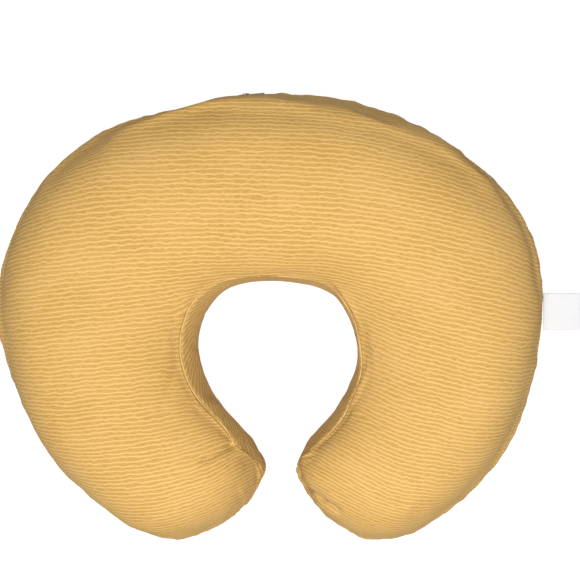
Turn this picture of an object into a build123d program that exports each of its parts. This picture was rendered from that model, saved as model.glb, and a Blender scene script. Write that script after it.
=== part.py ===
"""Nursing pillow: a C-shaped stuffed pillow in a zipped cover, built piece by piece.

Units are millimetres. The origin is the middle of the waist opening on the floor,
+Z is up, +Y points to the closed back of the C and +X to the side with the label.
"""

from build123d import *
from math import asin, cos, degrees, radians, sin
import os

os.makedirs("parts", exist_ok=True)

# Seam line in plan, right half: (radius, angle) of tangent arcs from the back to the tip
BACK_Y = 243.9
BACK_R, BACK_ANGLE = 321.2, 40
SIDE_ARC = (142.2, 40.9)
LOWER_ARC = (247.4, 67.1)
TIP_ARC = (82.4, 103)
CORNER_ARC = (18, 58)

# Waist side of the seam line, from the back centre towards the tip
WAIST_Y = 72
WAIST_ARCS = ((189, 10), (64, 73), (99, 48))

# Crest of the crown, halfway between the two sides
SPINE_Y = 158
SPINE_ARCS = ((235, 30), (107, 60), (200, 39), (70, 27))

# Section: the crown curves would close a little beyond the top and below the floor
HEIGHT = 150
SEAM_Z = HEIGHT / 2
TOP_CURVE_H = SEAM_Z + 0.5
BOTTOM_CURVE_H = SEAM_Z + 4
OUTER_POWER = 2.3
WAIST_POWER = 2.2
LEVELS = 8

# Gusset on the waist side, which narrows to nothing at the tips
GUSSET_HALF = 38
GUSSET_BULGE = 10
GUSSET_FULL_Y = -60
GUSSET_END_Y = -112
GUSSET_TOP_Y = 100

# Cloth and thread layers, as distances in from the cover's outside
COVER_IN = 1.0
THREAD = 0.4
THREAD_GAP = 0.3
CASING_OUT = 4.0
CASING_IN = 4.8
FILL_OUT = 5.0
CASING_FLOOR = COVER_IN
FILL_FLOOR = CASING_FLOOR + CASING_IN - CASING_OUT

# Zipper along the back seam: places are measured along it from the closed end, "out"
# is measured outwards from the seam line
CLOSED_END_ANGLE = 5.5
CHAIN_LENGTH = 254
TAPE_TAIL = 8
SLOT_HALF = 5
TOOTH_OUT = -1.5
TOOTH = (1.2, 1.25, 3.5)
TOOTH_OVERLAP = 1.1
TOOTH_PITCH = 2.8
TEETH_START = 7.2
STOP_LENGTH = 2.5
TAPE_EDGE_Z = TOOTH[2] - TOOTH_OVERLAP
TAPE_WIDTH = 12.6
TAPE_THICK = 0.4
TAPE_DROP = 1.0
STITCH = (0.3, 2.4, 0.4)
STITCH_PITCH = 3.2
STITCH_Z = 8

# Slider and pull
SLIDER_START, SLIDER_END = 2.9, 11.9
POST_START, POST_END = 3.6, 5.9
POST_HALF = 1.2
WING_HALF = 4.4
WING_LIP = 0.9
OUTER_WING = (-0.6, 0.4)
INNER_WING = (-3.2, -2.4)
LIP_OUT, LIP_IN = -1.0, -2.1
BRIDGE_HALF_Z = 0.8
BRIDGE_SPAN = 2.6
BRIDGE_THICK = 0.8
BRIDGE_UNDERSIDE = 2.1
PULL_AXIS_OUT = 1.25
PULL_BAR_R = 0.5
PULL_LENGTH = 18
PULL_HALF_Z = 2.3
PULL_THICK = 0.9
PULL_WINDOW_START, PULL_WINDOW_END = 0.5, 4.3
PULL_WINDOW_HALF = 1.2
PULL_HOLE_R = 1.1

# Side label, folded and sewn into the outer seam, and the care label on the casing
LABEL_LENGTH = 33
LABEL_WIDTH = 35
LABEL_THICK = 0.7
LABEL_X, LABEL_Y = 259.6, 37
LABEL_STITCH = (0.4, 2.2, 0.2)
LABEL_STITCH_PITCH = 3.4
LABEL_STITCH_IN = 3
CARE_LABEL_OUT, CARE_LABEL_IN = 2.2, 2.8
CARE_LABEL_WIDTH, CARE_LABEL_HEIGHT = 60, 34
CARE_LABEL_Y, CARE_LABEL_Z = 50, 98

ARC_CENTRE = Vector(0, BACK_Y - BACK_R, SEAM_Z)


def tangent_arcs(start, arcs):
    """Clockwise tangent arcs that leave start in the +X direction."""
    edges = []
    point, heading = start, (1, 0)
    for radius, angle in arcs:
        arc = JernArc(point, heading, radius, -angle)
        edges.append(arc)
        point, heading = arc @ 1, arc % 1
    return edges


with BuildLine():
    outer_arcs = tangent_arcs(
        (0, BACK_Y), ((BACK_R, BACK_ANGLE), SIDE_ARC, LOWER_ARC, TIP_ARC, CORNER_ARC)
    )

with BuildLine():
    waist_arcs = tangent_arcs((0, WAIST_Y), WAIST_ARCS)
    forearm_arc = TangentArc(
        outer_arcs[-1] @ 1, waist_arcs[-1] @ 1, tangent=outer_arcs[-1] % 1
    )

with BuildLine() as spine:
    tangent_arcs((0, SPINE_Y), SPINE_ARCS)


def half_seam_stations():
    """Stations (point, crest, half gusset) from the back centre to the waist, two per arc."""
    points = [outer_arcs[0] @ 0]
    for arc, count in zip(outer_arcs, (2, 2, 2, 3, 1)):
        points += [arc @ (k / (2 * count)) for k in range(1, 2 * count + 1)]
    stations = [(point, 0) for point in points]

    points = [forearm_arc @ (k / 4) for k in range(1, 5)]
    for arc, count in zip(reversed(waist_arcs), (2, 3, 1)):
        points += [arc @ (1 - k / (2 * count)) for k in range(1, 2 * count + 1)]
    for point in points:
        taper = (point.Y - GUSSET_END_Y) / (GUSSET_FULL_Y - GUSSET_END_Y)
        stations.append((point, GUSSET_HALF * min(1, taper)))

    crest_line = spine.wire()
    return [
        (point, crest_line.distance_to_with_closest_points(point)[1], gusset)
        for point, gusset in stations
    ]


right_stations = half_seam_stations()


def level_point(station, inset, z):
    """A station's point at height z on the surface that lies inset in from the cover."""
    point, crest, gusset = station
    rise = abs(z - SEAM_Z)
    curve_h = (TOP_CURVE_H if z > SEAM_Z else BOTTOM_CURVE_H) - inset
    width = (point - crest).length - inset
    if rise < gusset:
        width += GUSSET_BULGE * gusset / GUSSET_HALF * (1 - (rise / gusset) ** 2)
    else:
        power = WAIST_POWER if gusset else OUTER_POWER
        width *= (1 - ((rise - gusset) / (curve_h - gusset)) ** power) ** (1 / power)
    return crest + (point - crest).normalized() * width + Vector(0, 0, z)


def pillow_half(inset, end_z):
    """Solid from the seam's height to end_z, inside the surface inset in from the cover."""
    curve_h = (TOP_CURVE_H if end_z > SEAM_Z else BOTTOM_CURVE_H) - inset
    end_angle = asin((end_z - SEAM_Z) / curve_h)
    rings = []
    for level in range(LEVELS + 1):
        z = SEAM_Z + curve_h * sin(end_angle * level / LEVELS)
        right = [level_point(station, inset, z) for station in right_stations]
        left = [Vector(-point.X, point.Y, point.Z) for point in reversed(right)]
        points = right + left[1:]
        starts = range(0, len(points) - 1, 2)
        rings.append(Wire([ThreePointArc(*points[k : k + 3]) for k in starts]))
    return Solid.make_loft(rings, ruled=True)


def pillow_layer(outside, inside, outside_floor, inside_floor):
    """A closed layer of the pillow between two surfaces, as deep as its insets differ."""
    layer = []
    for inset, floor_z in ((outside, outside_floor), (inside, inside_floor)):
        layer.append(pillow_half(inset, HEIGHT - inset) + pillow_half(inset, floor_z))
    return layer[0] - layer[1]


def arc_angle(place):
    """Angle in degrees, from +X about the back arc's centre, of a place along the zipper."""
    return 90 + CLOSED_END_ANGLE - degrees(place / BACK_R)


def zip_ring(start, end, profile):
    """Revolves a profile of (out, height) points along the zipper, from start to end."""
    angle = arc_angle(start)
    plane = Plane(
        origin=ARC_CENTRE,
        x_dir=(cos(radians(angle)), sin(radians(angle)), 0),
        z_dir=(sin(radians(angle)), -cos(radians(angle)), 0),
    )
    with BuildPart() as ring:
        with BuildSketch(plane):
            with BuildLine():
                Polyline(*[(BACK_R + out, height) for out, height in profile], close=True)
            make_face()
        revolve(axis=Axis(ARC_CENTRE, (0, 0, -1)), revolution_arc=angle - arc_angle(end))
    return ring.part


def zip_bar(start, end, out, height):
    """A plain bar along the zipper between two outs and two heights."""
    corners = [(out[0], height[0]), (out[1], height[0]), (out[1], height[1]), (out[0], height[1])]
    return zip_ring(start, end, corners)


def zip_plane(place, out):
    """Plane on the zipper at a place: local x along the travel, y outwards, z up."""
    angle = radians(arc_angle(place))
    outward = Vector(cos(angle), sin(angle))
    travel = Vector(sin(angle), -cos(angle))
    return Plane(ARC_CENTRE + outward * (BACK_R + out), x_dir=travel, z_dir=(0, 0, 1))


def row_along_zipper(first, pitch, count, out, height):
    """Locations of a row of small pieces along the zipper, local x pointing outwards."""
    with Locations(ARC_CENTRE + Vector(0, 0, height)):
        return PolarLocations(
            BACK_R + out, count, arc_angle(first), -degrees(pitch * (count - 1) / BACK_R)
        )


# Space of the gusset: a band on the waist side that narrows towards the tips
with BuildPart() as gusset_space:
    with BuildSketch(Plane.YZ):
        with BuildLine():
            Polyline(
                (GUSSET_END_Y, SEAM_Z),
                (GUSSET_FULL_Y, SEAM_Z + GUSSET_HALF),
                (GUSSET_TOP_Y, SEAM_Z + GUSSET_HALF),
                (GUSSET_TOP_Y, SEAM_Z - GUSSET_HALF),
                (GUSSET_FULL_Y, SEAM_Z - GUSSET_HALF),
                close=True,
            )
        make_face()
    extrude(amount=BACK_R, both=True)
    with BuildSketch():
        with BuildLine():
            inner_arcs = tangent_arcs((0, SPINE_Y), SPINE_ARCS)
            mirror(about=Plane.YZ)
            tip = inner_arcs[-1] @ 1
            Line(tip, (-tip.X, tip.Y))
        make_face()
    extrude(amount=HEIGHT, mode=Mode.INTERSECT)


def cloth_panels(outside, inside, outside_floor, inside_floor):
    """Top panel, bottom panel and gusset of one bag of cloth."""
    upper = pillow_half(outside, HEIGHT - outside) - pillow_half(inside, HEIGHT - inside)
    lower = pillow_half(outside, outside_floor) - pillow_half(inside, inside_floor)
    panels = []
    for half_layer in (upper, lower):
        with BuildPart() as panel:
            add(half_layer)
            add(gusset_space.part, mode=Mode.SUBTRACT)
        panels.append(panel)
    with BuildPart() as gusset:
        add(upper)
        add(lower)
        add(gusset_space.part, mode=Mode.INTERSECT)
    return *panels, gusset


zip_slot = zip_bar(
    -THREAD, CHAIN_LENGTH + THREAD, (INNER_WING[0], TOOTH[2]), (-SLOT_HALF, SLOT_HALF)
)
zip_stretch = zip_bar(
    -TAPE_TAIL - 1, CHAIN_LENGTH + TAPE_TAIL + 1, (-TAPE_WIDTH, TAPE_WIDTH), (-1, 1)
)

# Inner pillow: loose fibre in a sewn casing of three panels
with BuildPart() as fibre_fill:
    add(pillow_half(FILL_OUT, HEIGHT - FILL_OUT))
    add(pillow_half(FILL_OUT, FILL_FLOOR))

casing_top_panel, casing_bottom_panel, casing_gusset = cloth_panels(
    CASING_OUT, CASING_IN, CASING_FLOOR, FILL_FLOOR
)

care_layer = pillow_layer(CARE_LABEL_OUT, CARE_LABEL_IN, CARE_LABEL_OUT, CARE_LABEL_IN)

with BuildPart() as care_label:
    with Locations((-BACK_R, CARE_LABEL_Y, CARE_LABEL_Z)):
        Box(BACK_R, CARE_LABEL_WIDTH, CARE_LABEL_HEIGHT)
    add(care_layer, mode=Mode.INTERSECT)

# Outer cover: three panels, with a slot for the zipper in the back seam
cover_upper, cover_lower, cover_gusset = cloth_panels(0, COVER_IN, 0, COVER_IN)

with BuildPart() as cover_top_panel:
    add(cover_upper.part)
    add(zip_slot, mode=Mode.SUBTRACT)

with BuildPart() as cover_bottom_panel:
    add(cover_lower.part)
    add(zip_slot, mode=Mode.SUBTRACT)


# Seam threads: one round the outer seam and two along the gusset, for each bag of cloth
def gusset_seam_band(side):
    """Thin band that follows the gusset's upper (side 1) or lower (side -1) seam."""
    start_y = GUSSET_END_Y + THREAD * 10
    slope = GUSSET_HALF / (GUSSET_FULL_Y - GUSSET_END_Y)
    start_rise = slope * (start_y - GUSSET_END_Y)
    line = [(start_y, start_rise), (GUSSET_FULL_Y, GUSSET_HALF), (GUSSET_TOP_Y, GUSSET_HALF)]
    outer_line = [(y, SEAM_Z + side * rise) for y, rise in line]
    inner_line = [(y, SEAM_Z + side * (rise - THREAD)) for y, rise in reversed(line)]
    with BuildPart() as band:
        with BuildSketch(Plane.YZ):
            with BuildLine():
                Polyline(*outer_line, *inner_line, close=True)
            make_face()
        extrude(amount=tip.X, both=True)
    return band.part


def seam_threads(layer):
    """Outer, upper and lower seam threads that run inside one thread layer."""
    with BuildPart() as outer_thread:
        with Locations((0, 0, SEAM_Z)):
            Box(3 * BACK_R, 3 * BACK_R, THREAD)
        add(layer, mode=Mode.INTERSECT)
        add(gusset_space.part, mode=Mode.SUBTRACT)
    gusset_threads = []
    for side in (1, -1):
        with BuildPart() as gusset_thread:
            add(gusset_seam_band(side))
            add(layer, mode=Mode.INTERSECT)
        gusset_threads.append(gusset_thread)
    return outer_thread, *gusset_threads


cover_thread_out = COVER_IN + THREAD_GAP
cover_threads = seam_threads(
    pillow_layer(
        cover_thread_out,
        cover_thread_out + THREAD,
        cover_thread_out,
        cover_thread_out + THREAD,
    )
)
casing_thread_in = CASING_OUT - THREAD_GAP
casing_threads = seam_threads(
    pillow_layer(
        casing_thread_in - THREAD,
        casing_thread_in,
        CASING_FLOOR - THREAD,
        CASING_FLOOR,
    )
)

with BuildPart() as cover_outer_seam_thread:
    add(cover_threads[0].part)
    add(zip_stretch, mode=Mode.SUBTRACT)

# Zipper: two woven tapes, two rows of teeth, stops and the stitching that holds it
teeth_length = CHAIN_LENGTH - STOP_LENGTH - TOOTH[1] - TEETH_START
tooth_count = int(teeth_length / TOOTH_PITCH)
stitch_count = int(CHAIN_LENGTH / STITCH_PITCH)
zipper_sides = {}
for name, side in (("upper", 1), ("lower", -1)):
    tape_in = TOOTH_OUT - TAPE_THICK / 2
    tape_out = TOOTH_OUT + TAPE_THICK / 2
    tape_profile = [
        (tape_out, side * TAPE_EDGE_Z),
        (tape_out - TAPE_DROP, side * (TAPE_EDGE_Z + TAPE_WIDTH)),
        (tape_in - TAPE_DROP, side * (TAPE_EDGE_Z + TAPE_WIDTH)),
        (tape_in, side * TAPE_EDGE_Z),
    ]
    with BuildPart() as zipper_tape:
        add(zip_ring(-TAPE_TAIL, CHAIN_LENGTH + TAPE_TAIL, tape_profile))

    first_tooth = TEETH_START if side > 0 else TEETH_START + TOOTH_PITCH / 2
    tooth_z = side * (TAPE_EDGE_Z - TOOTH[2] / 2)
    with BuildPart() as zipper_teeth:
        with row_along_zipper(first_tooth, TOOTH_PITCH, tooth_count, TOOTH_OUT, tooth_z):
            Box(*TOOTH)

    with BuildPart() as tape_stitching:
        with row_along_zipper(
            STITCH_PITCH / 2, STITCH_PITCH, stitch_count, STITCH[0] / 2, side * STITCH_Z
        ):
            Box(*STITCH)
    zipper_sides[f"zipper_tape_{name}"] = zipper_tape
    zipper_sides[f"zipper_teeth_{name}"] = zipper_teeth
    zipper_sides[f"tape_stitching_{name}"] = tape_stitching

tooth_outs = (TOOTH_OUT - TOOTH[0] / 2, TOOTH_OUT + TOOTH[0] / 2)
with BuildPart() as zipper_top_stops:
    for side in (1, -1):
        add(zip_bar(0, STOP_LENGTH - 0.5, tooth_outs, (side * 0.6, side * TAPE_EDGE_Z)))

with BuildPart() as zipper_bottom_stop:
    add(
        zip_bar(
            CHAIN_LENGTH - STOP_LENGTH, CHAIN_LENGTH, tooth_outs, (-TAPE_EDGE_Z, TAPE_EDGE_Z)
        )
    )

# Slider: two wings joined by a post, lips that leave slots for the tapes, and a bridge
slider_middle = (SLIDER_START + SLIDER_END) / 2
bridge_plane = zip_plane(slider_middle, 0)
with BuildPart() as zipper_slider:
    for wing in (OUTER_WING, INNER_WING):
        add(zip_bar(SLIDER_START, SLIDER_END, wing, (-WING_HALF, WING_HALF)))
    for side in (1, -1):
        lip_z = (side * (WING_HALF - WING_LIP), side * WING_HALF)
        add(zip_bar(SLIDER_START, SLIDER_END, (LIP_OUT, OUTER_WING[1]), lip_z))
        add(zip_bar(SLIDER_START, SLIDER_END, (INNER_WING[0], LIP_IN), lip_z))
    add(
        zip_bar(
            POST_START, POST_END, (INNER_WING[0], OUTER_WING[1]), (-POST_HALF, POST_HALF)
        )
    )
    with BuildSketch(bridge_plane):
        with BuildLine():
            bridge_end = BRIDGE_SPAN + BRIDGE_THICK
            bridge_top = BRIDGE_UNDERSIDE + BRIDGE_THICK
            FilletPolyline(
                (bridge_end, 0), (bridge_end, bridge_top), (-bridge_end, bridge_top),
                (-bridge_end, 0), (-BRIDGE_SPAN, 0), (-BRIDGE_SPAN, BRIDGE_UNDERSIDE),
                (BRIDGE_SPAN, BRIDGE_UNDERSIDE), (BRIDGE_SPAN, 0),
                radius=(0, 1.1, 1.1, 0, 0, 0.3, 0.3, 0),
                close=True,
            )
        make_face()
    extrude(amount=BRIDGE_HALF_Z, both=True)

pull_axis = bridge_plane.from_local_coords((0, PULL_AXIS_OUT, 0))
pull_plane = Plane(pull_axis, x_dir=bridge_plane.x_dir, z_dir=bridge_plane.y_dir)
bar_plane = Plane(pull_axis, x_dir=bridge_plane.x_dir, z_dir=(0, 0, 1))
with BuildPart() as zipper_pull_tab:
    with BuildSketch(pull_plane):
        with Locations((PULL_LENGTH / 2, 0)):
            RectangleRounded(PULL_LENGTH, 2 * PULL_HALF_Z, PULL_WINDOW_HALF)
        with Locations(((PULL_WINDOW_START + PULL_WINDOW_END) / 2, 0)):
            Rectangle(
                PULL_WINDOW_END - PULL_WINDOW_START,
                2 * PULL_WINDOW_HALF,
                mode=Mode.SUBTRACT,
            )
        with Locations((PULL_LENGTH - 2 * PULL_HALF_Z + PULL_HOLE_R, 0)):
            Circle(PULL_HOLE_R, mode=Mode.SUBTRACT)
    extrude(amount=PULL_THICK / 2, both=True)
    with BuildSketch(bar_plane):
        Circle(PULL_BAR_R)
    extrude(amount=PULL_WINDOW_HALF, both=True)

# Side label
label_middle = (LABEL_X + LABEL_LENGTH / 2, LABEL_Y, SEAM_Z)
with BuildPart() as side_label:
    with Locations(label_middle):
        Box(LABEL_LENGTH, LABEL_WIDTH, LABEL_THICK)
    fillet(side_label.edges().filter_by(Axis.Y), LABEL_THICK / 3)

with BuildPart() as side_label_stitching:
    stitch_x = LABEL_X + LABEL_STITCH_IN
    stitch_z = SEAM_Z + LABEL_THICK / 2 + LABEL_STITCH[2] / 2
    with Locations((stitch_x, LABEL_Y, stitch_z)):
        with GridLocations(0, LABEL_STITCH_PITCH, 1, int(LABEL_WIDTH / LABEL_STITCH_PITCH)):
            Box(*LABEL_STITCH)

pieces = {
    "fibre_fill": fibre_fill,
    "casing_top_panel": casing_top_panel,
    "casing_bottom_panel": casing_bottom_panel,
    "casing_gusset": casing_gusset,
    "casing_outer_seam_thread": casing_threads[0],
    "casing_gusset_upper_thread": casing_threads[1],
    "casing_gusset_lower_thread": casing_threads[2],
    "care_label": care_label,
    "cover_top_panel": cover_top_panel,
    "cover_bottom_panel": cover_bottom_panel,
    "cover_gusset": cover_gusset,
    "cover_outer_seam_thread": cover_outer_seam_thread,
    "cover_gusset_upper_thread": cover_threads[1],
    "cover_gusset_lower_thread": cover_threads[2],
    **zipper_sides,
    "zipper_top_stops": zipper_top_stops,
    "zipper_bottom_stop": zipper_bottom_stop,
    "zipper_slider": zipper_slider,
    "zipper_pull_tab": zipper_pull_tab,
    "side_label": side_label,
    "side_label_stitching": side_label_stitching,
}
for name, piece in pieces.items():
    piece.part.label = name
    export_step(piece.part, f"parts/{name}.step")
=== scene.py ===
"""Looks of the nursing pillow: stuffed cotton cover, inner casing, zipper and side label.

Lengths are millimetres until a mesh is made, and metres in Blender. The frame is the
part's: origin in the middle of the waist opening on the floor, +Y to the closed back.
"""

from math import atan2, ceil, cos, degrees, hypot, pi, radians, sin

import bpy
import numpy as np
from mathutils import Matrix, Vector, noise
from mathutils.bvhtree import BVHTree


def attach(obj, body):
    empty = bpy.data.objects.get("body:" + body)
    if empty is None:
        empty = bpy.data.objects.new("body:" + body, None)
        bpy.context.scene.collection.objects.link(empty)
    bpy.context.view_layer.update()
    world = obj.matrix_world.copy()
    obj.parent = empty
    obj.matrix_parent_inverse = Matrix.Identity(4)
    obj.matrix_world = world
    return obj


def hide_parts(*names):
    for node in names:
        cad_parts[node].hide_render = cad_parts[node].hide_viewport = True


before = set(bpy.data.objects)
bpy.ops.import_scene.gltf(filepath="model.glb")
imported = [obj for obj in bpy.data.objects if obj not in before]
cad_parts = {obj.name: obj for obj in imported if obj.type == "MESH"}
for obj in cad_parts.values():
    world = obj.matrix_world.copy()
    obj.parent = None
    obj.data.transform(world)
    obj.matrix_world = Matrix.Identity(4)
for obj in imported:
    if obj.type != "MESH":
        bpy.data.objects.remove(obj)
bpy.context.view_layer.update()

MM = 0.001
PILLOW, LABEL = "pillow", "label"

# Seam line in plan, right half, as the part has it: (radius, angle) of tangent arcs
BACK_Y = 243.9
BACK_R, BACK_ANGLE = 321.2, 40
OUTER_ARCS = ((BACK_R, BACK_ANGLE), (142.2, 40.9), (247.4, 67.1), (82.4, 103), (18, 58))
WAIST_Y = 72
WAIST_ARCS = ((189, 10), (64, 73), (99, 48))
SPINE_Y = 158
SPINE_ARCS = ((235, 30), (107, 60), (200, 39), (70, 27))

# Section
SEAM_Z = 75
CROWN = {1: 75.5, -1: 79}
OUTER_POWER, WAIST_POWER = 2.3, 2.2
GUSSET_HALF, GUSSET_BULGE = 38, 10
WAIST_FLATTER = 5
WAIST_EDGE = 24
GUSSET_TAPER_START, GUSSET_TAPER = -14, 34

# Mesh: cells over half a crown, rows in a tip, cells up the gusset, row spacing
HALF_CELLS = 24
TIP_ROWS = 24
GUSSET_CELLS = 16
ROW = 4.6

# Zipper, as the part has it: places along it from the closed end
CLOSED_END_ANGLE = 5.5
CHAIN_LENGTH = 254
TOOTH_OUT = -1.5
ARC_CENTRE = np.array([0, BACK_Y - BACK_R, SEAM_Z])


WAVE_RATIOS = (1, 1.618, 2.71)


def wobble(angle, seed, turns=WAVE_RATIOS):
    """Smooth irregular wave between about -1 and 1, with a period near one turn."""
    waves = [np.sin(turn * angle + lag * seed) for turn, lag in zip(turns, (1.3, 2.1, 0.7))]
    return (waves[0] + 0.7 * waves[1] + 0.5 * waves[2]) / 1.7


def around(place, period, seed):
    """Irregular wave along the whole seam that closes on itself, with a period in mm."""
    turns = [round(2 * SEAM_AT[-1] / period * ratio) for ratio in WAVE_RATIOS]
    return wobble(pi * place / SEAM_AT[-1], seed, turns)


def bell(x, width):
    return np.exp(-((np.asarray(x) / width) ** 2))


def soft_ramp(x, width):
    """0 well below zero and x well above it."""
    return width * np.logaddexp(0, np.asarray(x) / width)


def arc_chain(start, heading, arcs, step=1.0):
    """Points and headings of clockwise tangent arcs, about a step apart."""
    point, points, headings = np.array(start, float), [np.array(start, float)], [heading]
    for radius, angle in arcs:
        right = np.array([sin(heading), -cos(heading)])
        centre = point + radius * right
        count = ceil(radius * radians(angle) / step)
        for k in range(1, count + 1):
            turned = heading - radians(angle) * k / count
            points.append(centre - radius * np.array([sin(turned), -cos(turned)]))
            headings.append(turned)
        point, heading = points[-1], headings[-1]
    return np.array(points), np.array(headings)


def along(points):
    """Distance along a line of points."""
    return np.concatenate([[0], np.cumsum(np.linalg.norm(np.diff(points, axis=0), axis=1))])


def half_seam():
    """Plan of the right half of the seam, from the back centre round the tip to the waist."""
    outer, headings = arc_chain((0, BACK_Y), 0, OUTER_ARCS)
    waist, _ = arc_chain((0, WAIST_Y), 0, WAIST_ARCS)
    chord = waist[-1] - outer[-1]
    turn = (headings[-1] + 2 * pi) - atan2(chord[1], chord[0])
    radius = hypot(*chord) / (2 * sin(turn))
    forearm, _ = arc_chain(outer[-1], headings[-1], [(radius, degrees(2 * turn))])
    return np.concatenate([outer, forearm[1:], waist[-2::-1]]), len(outer)


SEAM, OUTER_COUNT = half_seam()
SEAM_AT = along(SEAM)
SPINE, SPINE_HEADINGS = arc_chain((0, SPINE_Y), 0, SPINE_ARCS, step=ROW)


def seam_hit(crest, direction):
    """Where a ray from the crest meets the seam: (distance, distance along the seam)."""
    start, edge = SEAM[:-1] - crest, np.diff(SEAM, axis=0)
    cross = direction[0] * edge[:, 1] - direction[1] * edge[:, 0]
    cross = np.where(np.abs(cross) < 1e-9, 1e-9, cross)
    reach = (start[:, 0] * edge[:, 1] - start[:, 1] * edge[:, 0]) / cross
    share = (start[:, 0] * direction[1] - start[:, 1] * direction[0]) / cross
    good = (reach > 0) & (share > -1e-6) & (share < 1 + 1e-6)
    k = np.flatnonzero(good)[np.argmin(reach[good])]
    return reach[k], SEAM_AT[k] + share[k] * (SEAM_AT[k + 1] - SEAM_AT[k])


def half_gusset(seam_at):
    """Half the gusset's height at a place along the right half of the seam."""
    past_tip = seam_at - SEAM_AT[OUTER_COUNT - 1] - GUSSET_TAPER_START
    return GUSSET_HALF * min(1, max(0, past_tip / GUSSET_TAPER))


def crown(crest, direction, shares, side):
    """Points over the crown on one ray from the crest, at shares 0 (crest) to 1 (seam).

    One row per share: x, y, z, place along the seam, surface distance to the seam,
    and the pattern's u and v, which are the plan unrolled over the crown.
    """
    width, seam_at = seam_hit(crest, direction)
    gusset = half_gusset(seam_at)
    power = WAIST_POWER + (OUTER_POWER - WAIST_POWER) * (1 - gusset / GUSSET_HALF)
    edge = radians(WAIST_EDGE) * gusset / GUSSET_HALF
    turn = np.linspace(pi / 2, edge, 91)
    out = width * (np.cos(turn) / cos(edge)) ** (2 / power)
    out[0] = 0
    edge_rise = sin(edge) ** (2 / power)
    share = (np.sin(turn) ** (2 / power) - edge_rise) / (1 - edge_rise)
    rise = gusset + (CROWN[side] - gusset) * share
    length = along(np.stack([out, rise], axis=1))
    place = np.asarray(shares) * length[-1]
    outs = np.interp(place, length, out)
    z = SEAM_Z + side * np.interp(place, length, rise)
    plan = crest + np.outer(outs, direction)
    pattern = crest + np.outer(place, direction)
    seam_col = np.full(len(place), seam_at)
    return np.column_stack([plan, z, seam_col, length[-1] - place, pattern])


def half_crown(side):
    """Grid of crown rows for the right half: [row, column] from the outer seam inwards."""
    shares = np.linspace(1, 0, HALF_CELLS + 1)
    rows = []
    for crest, heading in zip(SPINE, SPINE_HEADINGS):
        normal = np.array([-sin(heading), cos(heading)])
        outer = crown(crest, normal, shares, side)
        inner = crown(crest, -normal, shares[::-1], side)
        rows.append(np.concatenate([outer, inner[1:]]))
    crest, heading = SPINE[-1], SPINE_HEADINGS[-1]
    ahead, normal = np.array([cos(heading), sin(heading)]), np.array([-sin(heading), cos(heading)])
    for k in range(1, TIP_ROWS + 1):  # a half disc as a grid: its corners lie on the seam
        row, y = [], k / TIP_ROWS
        for x in np.linspace(-1, 1, 2 * HALF_CELLS + 1):
            across, forward = x * (1 - y * y / 2) ** 0.5, y * (1 - x * x / 2) ** 0.5
            direction = forward * ahead - across * normal
            share = np.linalg.norm(direction)
            row.append(crown(crest, direction / share, [min(1, share)], side)[0])
        rows.append(np.array(row))
    return np.array(rows)


def whole_crown(side):
    """Grid for both halves, row 0 at the left tip. The left half's seam places are negative."""
    right = half_crown(side)
    left = right[:0:-1].copy()
    left[..., [0, 3, 5]] *= -1
    return np.concatenate([left, right])


# The real pillow isn't quite even, and its waist and mouth lie to the right
WAIST_SHIFT, MOUTH_SHIFT, SHIFT_REACH = 7, 4, 175
# Soft pushes in plan: (x, y), reach, (move x, move y)
PUSHES = (
    ((-195, 190), 60, (1, 6)),
    ((-266, 30), 100, (-4, 0)),
    ((-140, 215), 45, (-1.5, 4.5)),
    ((262, 45), 35, (1.0, 0)),
    ((85, 235), 50, (0.5, 1.5)),
    ((275, 0), 80, (-2, 0)),
    ((-30, -110), 26, (2, 0)),
    ((-62, -35), 40, (2.5, 0)),
    ((40, -112), 26, (-9, 0)),
    ((74, -40), 24, (-4, 0)),
    ((-210, -95), 90, (-5, -2)),
    ((205, -75), 90, (2, -1)),
    ((225, 150), 55, (-3, -0.5)),
    ((90, -20), 40, (3, 0)),
    ((0, 68), 62, (0, -2)),
    ((62, 52), 25, (4, 3)),
    ((-110, -165), 60, (-3.5, -3)),
    ((110, -165), 60, (-1.5, -1)),
)
# Rolls: the upper seam moves one way in plan and the lower seam the other way
ROLLS = (
    ((-14, -108), 22, (-5, 3)),
    ((-52, -60), 26, (6, 1)),
    ((88, 14), 42, (-6, 0)),
    ((72, 52), 25, (-3, -2)),
)


def lean(points):
    """Moves the part's even points to where the real pillow's are."""
    plan = np.array(points[..., :2], float)
    x, y = plan[..., 0], plan[..., 1]
    shift = WAIST_SHIFT + MOUTH_SHIFT * np.clip(-y / 80, 0, 1)
    move = np.zeros_like(plan)
    move[..., 0] = shift * np.clip((78 - y) / 50, 0, 1) * bell(x, SHIFT_REACH)
    for centre, reach, push in PUSHES:
        near = bell(np.linalg.norm(plan - centre, axis=-1), reach)
        move += near[..., None] * push
    if points.shape[-1] > 2:
        tall = np.clip((points[..., 2] - SEAM_Z) / GUSSET_HALF, -1, 1)
        for centre, reach, push in ROLLS:
            near = tall * bell(np.linalg.norm(plan - centre, axis=-1), reach)
            move += near[..., None] * push
    return np.concatenate([plan + move, points[..., 2:]], axis=-1)


def ring_normals(grid, ring):
    """Plan directions out of the pillow at each place round the seam."""
    plan = np.array([grid[i, j, :2] for i, j in ring])
    crest = np.array([grid[i, HALF_CELLS, :2] for i, _ in ring])
    tangent = np.roll(plan, -3, axis=0) - np.roll(plan, 3, axis=0)
    normal = np.column_stack([tangent[:, 1], -tangent[:, 0]])
    normal *= np.sign(((plan - crest) * normal).sum(axis=1))[:, None]
    return normal / np.linalg.norm(normal, axis=1, keepdims=True)


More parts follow.
